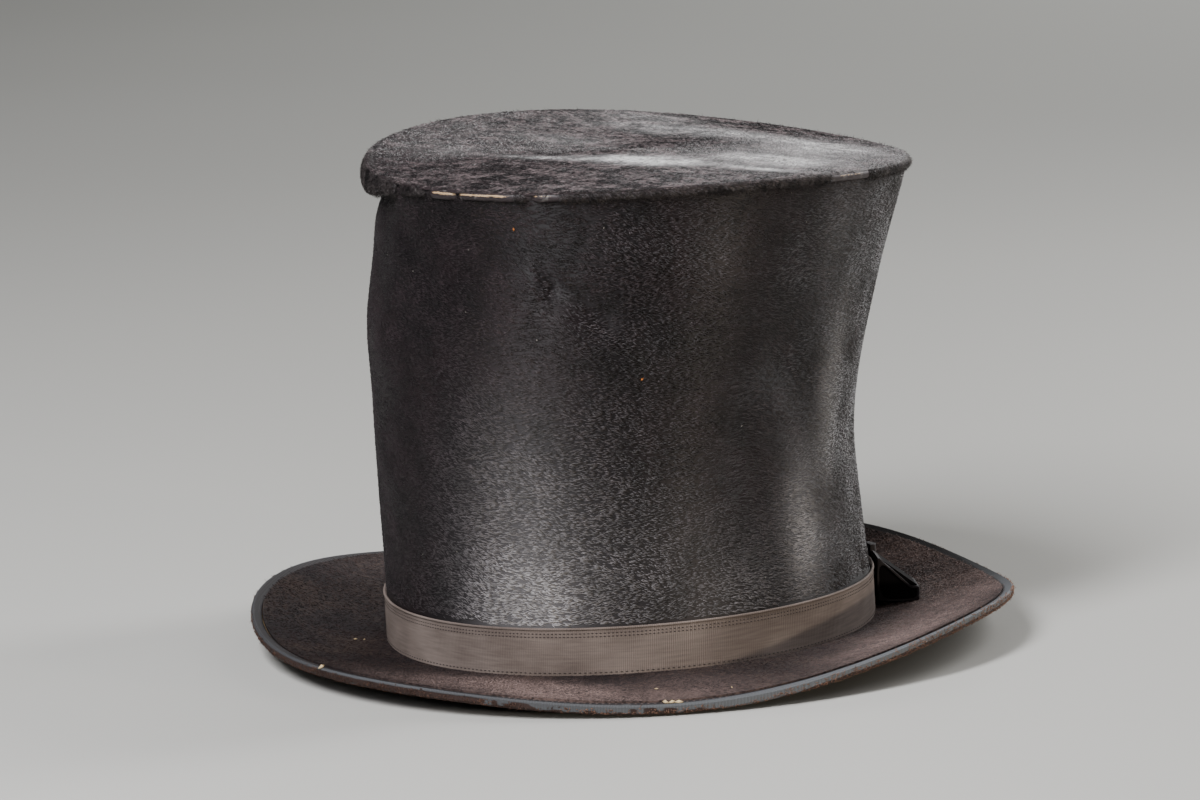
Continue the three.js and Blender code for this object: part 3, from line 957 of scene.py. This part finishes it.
# %% [markdown]
# ## Inside the hat
# A strip of thin brown sheepskin sits against the head. Behind it the wall is lined with cream
# silk on paper, laid in small pleats, and the tip's lining is a flat oval of the same. A small
# ribbon bow marks the back.

# %% The leather and silk finishes
PEBBLE = 1.1 * MM
STAIN = 24 * MM
AGE_BLOTCH = 35 * MM
SILK_THREAD = 0.6 * MM


def leather_finish():
    """Thin brown sheepskin: a fine pebble grain, darker where heads have rubbed it."""
    material, tree, shader = new_material("brown sheepskin", Roughness=0.5, Specular_IOR_Level=0.4)
    place = object_place(tree)
    grain = add_node(tree, "TexVoronoi", None, {"Scale": 1 / PEBBLE}, {"Vector": place})
    stains = add_noise(tree, place, STAIN, Detail=3.0)
    tone = ramp(tree, stains, (0.35, "#472c1b"), (0.7, "#7d563a"))
    put_on(tree, shader, tone, grain.outputs["Distance"], strength=0.35, depth=0.15 * MM)
    return material


def silk_lining_finish():
    """Cream silk: a soft satin, yellowed in patches."""
    material, tree, shader = new_material(
        "cream silk", Roughness=0.42, Sheen_Weight=0.2, Sheen_Roughness=0.4
    )
    place = object_place(tree)
    age = add_noise(tree, place, AGE_BLOTCH, Detail=4.0)
    weave = add_node(
        tree,
        "TexWave",
        {"bands_direction": "Z"},
        {"Scale": WAVES_PER_SCALE / SILK_THREAD, "Distortion": 1.0},
        {"Vector": place},
    )
    tone = ramp(tree, age, (0.35, "#b39f76"), (0.68, "#d9cdb0"))
    put_on(tree, shader, tone, weave.outputs["Fac"], strength=0.2, depth=0.05 * MM)
    return material


sheepskin = leather_finish()
cream_silk = silk_lining_finish()

# %% Make the sweatband and the linings
PLEAT = 11 * MM
PLEAT_DEPTH = 0.22 * MM
head_leather = refined("sweatband", "head_leather", 2)
settle(head_leather, sheepskin, "leather", "sweatband")

wall_silk = dented(refined("side_lining", "wall_silk", 3))
silk_points = points_of(wall_silk)
pleats = round(ROUND / PLEAT)
fold = np.abs(np.sin(run_of(silk_points) / ROUND * math.pi * pleats))
tuck = PLEAT_DEPTH * (1 - fold) ** 3
move_points(wall_silk, silk_points - square_out(silk_points) * tuck[:, None])
settle(wall_silk, cream_silk, "lining", "side_lining")

tip_silk_lining = buckled(refined("tip_lining", "tip_silk_lining", 2))
settle(tip_silk_lining, cream_silk, "lining", "tip_lining")

back_bow = refined("sweatband_bow", "back_bow", 3, crease=0.4)
lay_cloth(back_bow, upward_of)
settle(back_bow, bow_ribbon, "bow_ribbon", "sweatband_bow")

# %% [markdown]
# ## The nap itself
# A finish alone leaves the hat's outline as clean as a tin's. Real nap breaks the outline and
# catches the light lock by lock, so the covers also get real locks of hair: thin three-sided
# spikes that lie along the brushing and lift a little at the tip. The locks stand at seeded
# places, spread evenly over the cover's faces by their area, and each one carries the painted
# light and wear of the spot where it stands.

# %% Comb a nap onto a cover
def new_piece(name, vertices, faces):
    """A smooth piece made from rows of vertices and faces, with its faces turned outward."""
    mesh = bpy.data.meshes.new(name)
    mesh.from_pydata(vertices.tolist(), [], faces.tolist())
    piece = bpy.data.objects.new(name, mesh)
    bpy.context.scene.collection.objects.link(piece)
    only(piece)
    bpy.ops.object.mode_set(mode="EDIT")
    bpy.ops.mesh.select_all(action="SELECT")
    bpy.ops.mesh.normals_make_consistent(inside=False)
    bpy.ops.object.mode_set(mode="OBJECT")
    bpy.ops.object.shade_smooth()
    lay_cloth(piece, upward_of)
    return piece


LOCK = np.array([[0, 1, 2], [0, 3, 1], [1, 3, 2], [2, 3, 0]])  # three corners and a tip
LENGTHS = (0.6, 1.3)  # least and most, as shares of the length asked for
LIFTS = (0.3, 1.4)
WEAR_AND_PAINTED_LIGHT_VARIES = (0.75, 1.2)
ROOT_SUNK = 0.5  # shares of a lock's thickness
LOCK_BACK = 1.4


def comb(cover, name, count, long, thick, lift, stray, seed, wanted, brushing, wear_and_painted_light):
    """One mesh of many locks on a cover's outer face, brushed one way with some stray."""
    draw = np.random.default_rng(seed)
    mesh = cover.data
    mesh.calc_loop_triangles()
    corners = np.empty(len(mesh.loop_triangles) * 3, np.int32)
    mesh.loop_triangles.foreach_get("vertices", corners)
    triangle = points_of(cover)[corners.reshape(-1, 3)]
    cross = np.cross(triangle[:, 1] - triangle[:, 0], triangle[:, 2] - triangle[:, 0])
    area = np.linalg.norm(cross, axis=1)
    normal = cross / np.maximum(area, 1e-12)[:, None]
    area = area * wanted(triangle.mean(1), normal)
    pick = draw.choice(len(area), count, p=area / area.sum())
    share = draw.random((count, 2))
    share = np.where(share.sum(1, keepdims=True) > 1, 1 - share, share)
    a, b, c = triangle[pick].transpose(1, 0, 2)
    root = a + (b - a) * share[:, :1] + (c - a) * share[:, 1:]
    normal = normal[pick]
    way = brushing(root) + stray * draw.normal(size=(count, 3))
    way = unit(way - normal * (way * normal).sum(1, keepdims=True))
    beside = np.cross(normal, way)
    length = long * draw.uniform(*LENGTHS, (count, 1))
    rise = lift * draw.uniform(*LIFTS, (count, 1))
    root = root - normal * thick * ROOT_SUNK
    corner = [root + beside * thick, root - beside * thick, root + normal * thick * LOCK_BACK]
    tip = root + way * length + normal * length * rise
    vertices = np.stack([*corner, tip], 1).reshape(-1, 3)
    faces = (LOCK[None] + 4 * np.arange(count)[:, None, None]).reshape(-1, 3)
    piece = new_piece(name, vertices, faces)
    # Each lock carries the painted light and wear of its spot, varied a little.
    wear_and_painted_light_share = wear_and_painted_light(root) * draw.uniform(*WEAR_AND_PAINTED_LIGHT_VARIES, count)
    write_value(piece, "wear_and_painted_light", np.repeat(np.clip(wear_and_painted_light_share, 0, 1), 4))
    return piece


SWIRL = 0.5
SWIRL_SIZE = 16 * MM
DOWNWARD = 0.12
DROOP = 0.9
FACES_OUT = 0.4  # least share of a face's way that points out, or up
FACES_UP = 0.3


def round_the_hat(points):
    """Brushing that runs round the hat, and wanders up and down a little."""
    turn = turn_of(points)
    wander = SWIRL * uneven(points, SWIRL_SIZE) - DOWNWARD
    across = SWIRL * uneven(points[:, [1, 2, 0]], SWIRL_SIZE)
    way = np.stack([-np.sin(turn), np.cos(turn), wander], 1)
    return way + across[:, None] * np.stack([np.cos(turn), np.sin(turn), 0 * turn], 1)


def hanging(points):
    """Brushing that runs round the hat and down over its edge."""
    return round_the_hat(points) + square_out(points) - np.array([0, 0, DROOP])


def outer_wall(places, normals):
    """The wall's outer face, above the band."""
    outer = (normals * square_out(places)).sum(1) > FACES_OUT
    return outer & (places[:, 2] > BAND_TOP + 0.3 * MM)


def top_face(places, normals):
    """The upper face of the tip or the brim, which must not be the narrow edge."""
    return normals[:, 2] > FACES_UP


def worn_through(places):
    """Where the rolled edge has lost its nap."""
    degrees = np.degrees(turn_of(places))
    spots = [(degrees > low) & (degrees < high) for low, high, strength in BARE_SPOTS]
    return np.any(spots, axis=0)


# %% The nap's finish
LOCK_PATCH = 1.6 * MM


def plush_hair(name, dark, light, wear_and_painted_light, drift, span, rough, gloss):
    """Silk hair: tones in drifts, paler where the nap carries painted light and wear."""
    material, tree, shader = new_material(name, Roughness=rough, Specular_IOR_Level=gloss)
    place = object_place(tree)
    locks = add_noise(tree, place, LOCK_PATCH, Detail=2.0)
    drifts = add_noise(tree, place, drift, Detail=3.0, Roughness=0.6)
    both = scaled_sum(tree, drifts, 1.4, locks)
    tone = blend(tree, spread_out(tree, both, *span), dark, light)
    # Painted highlight: locks turn paler by the attribute that comb stored on them.
    pale = spread_out(tree, both, 0.8, 1.6, least=0.6, most=1.15)
    tone = blend(tree, product(tree, stored(tree, "wear_and_painted_light"), pale), tone, wear_and_painted_light)
    put_on(tree, shader, tone)
    return material


# name, dark, light and rubbed tone (a paler tone that paints light on the nap), size of the
# drifts, span of the noise, roughness, gloss
wall_hair = plush_hair(
    "black silk nap", "#0b0607", "#31272a", "#aeabab", 12 * MM, (0.95, 1.6), 0.45, 0.5
)
tip_hair = plush_hair(
    "silk nap with painted sheen", "#0c0708", "#685d5d", "#e0e0de", 7 * MM, (1.12, 1.42), 0.45, 0.5
)
brim_hair = plush_hair(
    "felted brim nap", "#0e090a", "#332725", "#84726d", 4 * MM, (1.0, 1.55), 0.8, 0.2
)
edge_hair = plush_hair(
    "matted edge nap", "#0f0b0c", "#4a4443", "#9a9793", 9 * MM, (1.0, 1.6), 0.5, 0.3
)

# %% Comb the wall, the tip, the edge and the brim
# each quarter as it looks from the front, and the signs of its x and y
QUARTERS = (
    ("front_left", -1, -1),
    ("front_right", 1, -1),
    ("back_left", -1, 1),
    ("back_right", 1, 1),
)


def napped(cover, name, hair, slot, count, seed, wanted, wear_and_painted_light, brushing=round_the_hat, **lock):
    """Combs a nap onto a cover and puts it in the hat."""
    nap = comb(
        cover, name, count, seed=seed, wanted=wanted, brushing=brushing, wear_and_painted_light=wear_and_painted_light, **lock
    )
    return settle(nap, hair, slot)


def quarter_wall(side, end):
    """The wall's outer face on one side and at one end of the hat."""

    def wanted(places, normals):
        here = (places[:, 0] * side > 0) & (places[:, 1] * end > 0)
        return outer_wall(places, normals) & here

    return wanted


def rolled(places, normals):
    """The rolled edge where it still has its nap."""
    return (normals[:, 2] > -0.8) & ~worn_through(places)


# Painted sheen on the rolled edge, half as strong as on the tip.
def wear_and_painted_light_roll(points):
    return 0.5 * wear_and_painted_light_tip(points)


WALL_LOCK = dict(long=2.6 * MM, thick=0.16 * MM, lift=0.1, stray=0.2)
TIP_LOCK = dict(long=2.4 * MM, thick=0.17 * MM, lift=0.1, stray=0.3)
ROLL_LOCK = dict(long=2.1 * MM, thick=0.14 * MM, lift=0.2, stray=0.5, brushing=hanging)
BRIM_LOCK = dict(long=1.2 * MM, thick=0.13 * MM, lift=0.25, stray=1.5)
for seed, (quarter, side, end) in enumerate(QUARTERS):
    name = "crown_nap_" + quarter
    wanted = quarter_wall(side, end)
    napped(
        crown_cover, name, wall_hair, "crown_plush", 42000, seed, wanted, wear_and_painted_light_wall, **WALL_LOCK
    )
OTHER_NAPS = (
    (tip_cover, "tip_nap", tip_hair, "crown_plush", 42000, 21, top_face, wear_and_painted_light_tip, TIP_LOCK),
    (rolled_edge, "edge_nap", edge_hair, "crown_plush", 24000, 22, rolled, wear_and_painted_light_roll, ROLL_LOCK),
    (brim_cover, "brim_nap", brim_hair, "brim_plush", 40000, 23, top_face, wear_and_painted_light_brim, BRIM_LOCK),
)
for *nap, lock in OTHER_NAPS:
    napped(*nap, **lock)

# %% [markdown]
# ## Sewing, fray and lint
# The band has a fine cord along its top, two rows of running stitch below that and one row at its
# foot, all in dark thread. The binding is sewn through near its inner edge and the sweatband
# along both of its edges, in a faded thread. Each stitch is a tiny pointed bead, set along the
# row's own line. On the fold of the binding the ribbon has frayed to brown threads. A few flecks
# of lint and thread lie on the nap, and the binding has two pale patches.

# %% Sew a row of stitches
BEAD = np.array(
    [[0, 2, 4], [2, 1, 4], [1, 3, 4], [3, 0, 4], [2, 0, 5], [1, 2, 5], [3, 1, 5], [0, 3, 5]]
)


def beads(name, places, ways, outs, long, thick):
    """One mesh of pointed beads, each long along its way and thick across it."""
    ways = unit(ways - outs * (ways * outs).sum(1, keepdims=True))
    sides = np.cross(outs, ways)
    long = np.broadcast_to(long, len(places))[:, None] / 2
    thick = np.broadcast_to(thick, len(places))[:, None] / 2
    ends = [ways * long, -ways * long, outs * thick, -outs * thick, sides * thick, -sides * thick]
    vertices = np.stack([places + end for end in ends], 1).reshape(-1, 3)
    faces = (BEAD[None] + 6 * np.arange(len(places))[:, None, None]).reshape(-1, 3)
    return new_piece(name, vertices, faces)


def between(lower_ring, upper_ring, share):
    """A ring that lies part of the way from one ring to another."""
    return lambda turns: lower_ring(turns) * (1 - share) + upper_ring(turns) * share


def stitch_row(name, ring_at, spacing, long, thick, outward=1):
    """A row of running stitches on a ring round the hat."""
    count = round(ROUND / spacing)
    turns = (np.arange(count) + 0.5) / count * 2 * math.pi
    places = ring_at(turns)
    ways = ring_at(turns + 0.01) - places
    return beads(name, places, ways, square_out(places) * outward, long, thick)


def thread(name, tone):
    return new_material(
        name, Base_Color=colour(tone), Roughness=0.75, Specular_IOR_Level=0.3
    )[0]


STITCH_THICK = 0.42 * MM
dark_thread = thread("dark sewing thread", "#221a19")
grey_thread = thread("faded sewing thread", "#5a4d4a")
band_foot = rim_of(crown_band, up=-1)
band_head = rim_of(crown_band, up=1)
band_tall = np.ptp([band_foot(np.zeros(1))[0, 2], band_head(np.zeros(1))[0, 2]]) / MM
# name, height on the band (mm), spacing, length of a stitch
BAND_ROWS = (
    ("band_stitches_upper", band_tall - 1.7, 1.5 * MM, 1.1 * MM),
    ("band_stitches_lower", band_tall - 2.8, 1.5 * MM, 1.1 * MM),
    ("band_foot_stitches", 0.9, 1.9 * MM, 1.3 * MM),
)
for name, height, spacing, long in BAND_ROWS:
    line = between(band_foot, band_head, height / band_tall)
    settle(stitch_row(name, line, spacing, long, STITCH_THICK), dark_thread, "band_ribbon")

# %% Lay the band's cord
CORD = 0.5 * MM
CORD_SIDES = 10
CORD_SINKS_IN = 0.4
CORD_SINKS_DOWN = 0.3
band_cord, ring, side = ring_of("band_cord", CORD_SIDES)
line = band_head(turn_of(ring))
line = line + square_out(line) * (CORD * (np.cos(side) - CORD_SINKS_IN))[:, None]
line[:, 2] += CORD * (np.sin(side) - CORD_SINKS_DOWN)
move_points(band_cord, line)
lay_cloth(band_cord, upward_of)
bpy.ops.object.shade_smooth()
settle(band_cord, band_ribbon, "band_ribbon")

# %% Stitch the binding and the sweatband
binding_outer = rim_of(edge_binding)
binding_inner = rim_of(edge_binding, out=-1, up=0.5)
binding_top = between(binding_inner, rim_of(edge_binding, out=1, up=1), 0.35)
binding_row = stitch_row("binding_stitches", binding_top, 1.6 * MM, 1.3 * MM, 0.4 * MM)
settle(binding_row, grey_thread, "binding_ribbon")
sweat_foot = rim_of(head_leather, out=-1, up=-1)
sweat_head = rim_of(head_leather, out=-1, up=1)
for name, share in (("sweatband_stitches_low", 0.06), ("sweatband_stitches_high", 0.93)):
    line = between(sweat_foot, sweat_head, share)
    row = stitch_row(name, line, 2.6 * MM, 1.9 * MM, 0.5 * MM, outward=-1)
    settle(row, grey_thread, "leather")

# %% Fray the brim's edge
def ragged_edge(places, normals):
    """The binding's outer face below its middle."""
    outer = (normals * square_out(places)).sum(1) > 0.2
    return outer & (places[:, 2] < binding_outer(turn_of(places))[:, 2] + 0.3 * MM)


def rubbed_fray(points):
    return 0.5 * (points[:, 0] > 40 * MM)


brown_fray = plush_hair(
    "frayed brown thread", "#2c1e18", "#5e463b", "#8b6a58", 6 * MM, (0.9, 1.6), 0.8, 0.2
)
FRAY_LOCK = dict(long=1.1 * MM, thick=0.16 * MM, lift=0.45, stray=1.2)
fray = (edge_binding, "edge_fray", brown_fray, "binding_ribbon", 9000, 31)
napped(*fray, ragged_edge, rubbed_fray, **FRAY_LOCK)

# %% Drop some lint
def skin_of(piece, wanted):
    """The places and normals of a piece's vertices that are wanted."""
    normals = np.empty(len(piece.data.vertices) * 3, np.float32)
    piece.data.vertices.foreach_get("normal", normals)
    normals = normals.reshape(-1, 3).astype(float)
    points = points_of(piece)
    keep = wanted(points, normals)
    return points[keep], normals[keep]


def lint_at(name, skin, picks, long, thick, seed, material, slot):
    """Flecks that lie on a skin at the picked places, each turned its own way."""
    draw = np.random.default_rng(seed)
    places, normals = skin[0][picks], unit(skin[1][picks])
    places = places + normals * LINT_LIFT
    fleck = beads(name, places, draw.normal(size=places.shape), normals, long, thick)
    return settle(fleck, material, slot)


def nearest(skin, turns_and_heights):
    """The skin's places nearest to each turn (degrees) and height (mm)."""
    turns = np.degrees(turn_of(skin[0]))
    heights = skin[0][:, 2] / MM
    return [
        int(np.argmin((WALL_DEGREE * (turns - turn)) ** 2 + (heights - height) ** 2))
        for turn, height in turns_and_heights
    ]


def nearest_flat(skin, spots):
    """The skin's places nearest to each x and y (mm)."""
    flat = skin[0][:, :2] / MM
    lean = HIGHER_WINS * skin[0][:, 2] / MM
    return [int(np.argmin(np.hypot(*(flat - spot).T) - lean)) for spot in spots]


WALL_DEGREE = 1.6  # a degree round the wall, in mm
LINT_LIFT = 0.3 * MM
HIGHER_WINS = 0.3  # of two faces one above the other, the upper one is picked
WALL_LINT = 46
wall_skin = skin_of(crown_cover, outer_wall)
brim_skin = skin_of(brim_cover, top_face)
edge_skin = skin_of(edge_binding, top_face)
pale_lint = thread("pale lint", "#a9a49c")
warm_lint = thread("orange lint", "#a3622f")
cream_thread = thread("cream thread", "#c2ad86")
scatter = np.random.default_rng(5).choice(len(wall_skin[0]), WALL_LINT, replace=False)
warm_spots = nearest(wall_skin, [(-84.5, 156), (-55.8, 105.6)])
brim_spots = nearest_flat(brim_skin, [(-74, -69), (-71, -68), (83, -96), (60, -108), (30, 128)])
patch_spots = nearest_flat(edge_skin, [(70, -119), (72, -118), (74, -117), (-52, -133)])
# name, skin, places, length, thickness (mm), seed, thread, slot
LINT = (
    ("wall_lint", wall_skin, scatter, 0.55, 0.3, 6, pale_lint, "crown_plush"),
    ("warm_lint", wall_skin, warm_spots, 1.4, 0.8, 7, warm_lint, "crown_plush"),
    ("brim_lint", brim_skin, brim_spots, 1.6, 0.5, 8, cream_thread, "brim_plush"),
    ("binding_patch", edge_skin, patch_spots, 3.2, 1.5, 9, cream_thread, "binding_ribbon"),
)
for name, skin, picks, long, thick, seed, tint, slot in LINT:
    lint_at(name, skin, picks, long * MM, thick * MM, seed, tint, slot)

# %% [markdown]

# %% [markdown]
# ## Light and floor
# A pale floor sweeps up into a pale wall. Two tall soft lights, one high in front and one behind
# the wearer's left, draw the two bright streaks that run up a plush crown. A broad light low
# behind the hat glances off the flat tip, and a weak one in front fills the rest. A small light
# almost level with the floor, at the wearer's left, throws the bow's long shadow along the band.

# %% The cove
FLOOR_REACH = 6.0
COVE_RADIUS = 1.2
PAPER_BLOTCH = 1 / 0.7
bpy.ops.mesh.primitive_plane_add(size=2 * FLOOR_REACH, location=(0, 0, 0))
floor = bpy.context.object
floor.name = "floor"
only(floor)
bpy.ops.object.mode_set(mode="EDIT")
bpy.ops.mesh.select_all(action="DESELECT")
bpy.ops.object.mode_set(mode="OBJECT")
for edge in floor.data.edges:
    edge.select = all(floor.data.vertices[i].co.y > 0 for i in edge.vertices)
bpy.ops.object.mode_set(mode="EDIT")
bpy.ops.mesh.select_mode(type="EDGE")
bpy.ops.mesh.extrude_region_move(TRANSFORM_OT_translate={"value": (0, 0, FLOOR_REACH)})
bpy.ops.object.mode_set(mode="OBJECT")
finish_with(floor, "BEVEL", width=COVE_RADIUS, segments=16, limit_method="ANGLE")
bpy.ops.object.shade_smooth()
paper, tree, shader = new_material("matt background paper", Roughness=0.95)
blotches = add_noise(tree, object_place(tree), PAPER_BLOTCH)
put_on(tree, shader, ramp(tree, blotches, (0.3, "#a9a9a4"), (0.7, "#b1b1ac")))
floor.data.materials.append(paper)

# %% The lights
def soft_light(name, turn, rise, distance, width, height, watts, tint):
    """A soft light that looks at the hat from a turn round it and a rise, both in degrees."""
    across, up = math.radians(turn), math.radians(rise)
    way = Vector((math.sin(across) * math.cos(up), -math.cos(across) * math.cos(up), math.sin(up)))
    bpy.ops.object.light_add(type="AREA", location=middle + way * distance)
    light = bpy.context.object
    light.name = name
    light.data.shape = "RECTANGLE"
    light.data.size = width
    light.data.size_y = height
    light.data.energy = watts
    light.data.color = colour(tint)[:3]
    light.rotation_mode = "QUATERNION"
    light.rotation_quaternion = (-way).to_track_quat("-Z", "Y")


# name, turn from the front, rise, distance, width, height (m), power (W), tint
soft_light("front_left", -8, 46, 1.6, 0.3, 0.9, 50, "#f6f5f9")
soft_light("rear_right", 144, 32, 1.5, 0.3, 1.2, 20, "#f7f5f6")
soft_light("behind", 182, 20, 3.4, 2.2, 0.7, 40, "#ffffff")
soft_light("front", 8, 24, 2.4, 1.2, 0.8, 13, "#fbf8f8")
soft_light("low_right", 80, 1.6, 1.8, 0.12, 0.06, 14, "#fff1dc")
world = bpy.data.worlds.new("studio")
bpy.context.scene.world = world
world.use_nodes = True
sky = world.node_tree.nodes["Background"].inputs
sky["Color"].default_value = colour("#b9bcc0")
sky["Strength"].default_value = 0.12
